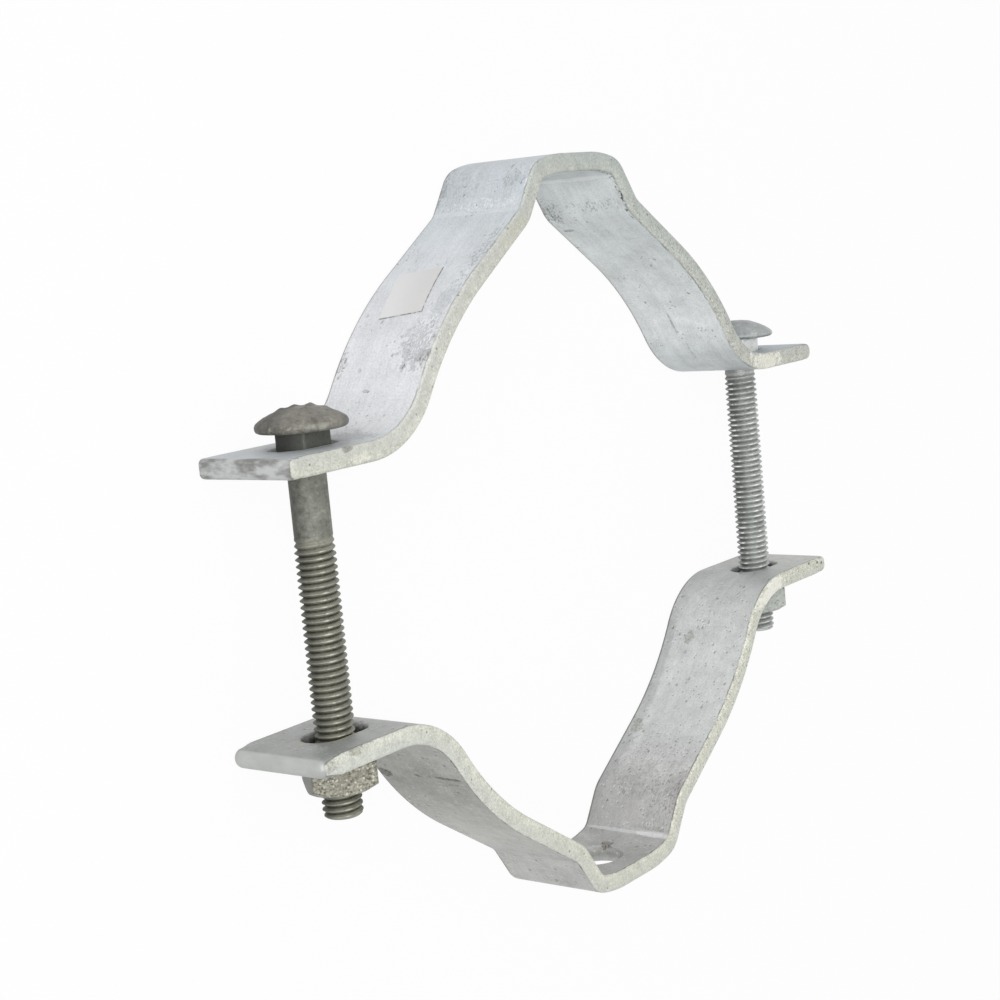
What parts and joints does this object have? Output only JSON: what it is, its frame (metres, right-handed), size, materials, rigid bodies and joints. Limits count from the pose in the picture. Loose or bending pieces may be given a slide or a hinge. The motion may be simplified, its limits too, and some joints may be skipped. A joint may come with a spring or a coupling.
{
  "type": "post clamp",
  "caption": "Bent flat-bar straps that close round a post, drawn together at their ears by cup-head bolts and square nuts, with a bolt hole in each crown.",
  "frame": {"origin": "on the post's axis, in the plane of the straps' lower edges", "axes": "+Z along the post, +X from the left bolt to the right bolt, +Y along the bolts towards their heads"},
  "size_m": [0.3116, 0.2588, 0.0381],
  "materials": {
    "strap_zinc": "hot-dip zinc, matt with dull spangle",
    "left_bolt_zinc": "weathered zinc, dark and dull",
    "right_bolt_zinc": "bright zinc, satin",
    "left_nut_zinc": "rough speckled zinc",
    "right_nut_zinc": "smooth dull zinc",
    "label_paper": "blank paper sticker"
  },
  "bodies": {
    "upper_half": {"upper_strap": "strap_zinc", "left_bolt": "left_bolt_zinc", "right_bolt": "right_bolt_zinc"},
    "lower_half": {"lower_strap": "strap_zinc"},
    "left_nut_body": {"left_nut": "left_nut_zinc"},
    "right_nut_body": {"right_nut": "right_nut_zinc"}
  },
  "joints": [
    {"name": "clamp_close", "type": "slide", "parent": "upper_half", "child": "lower_half", "axis": [0, 1, 0], "range_m": [-0.007, 0.065]},
    {"name": "left_nut_turn", "type": "hinge", "parent": "lower_half", "child": "left_nut_body", "pos_m": [-0.12935, -0.0476, 0.01905], "axis": [0, 1, 0], "continuous": true},
    {"name": "right_nut_turn", "type": "hinge", "parent": "lower_half", "child": "right_nut_body", "pos_m": [0.12935, -0.0476, 0.01905], "axis": [0, 1, 0], "continuous": true}
  ],
  "couplings": [
    {"joint": "left_nut_turn", "follows": "clamp_close", "rad_per_m": 2968.4},
    {"joint": "right_nut_turn", "follows": "clamp_close", "rad_per_m": 2968.4}
  ]
}
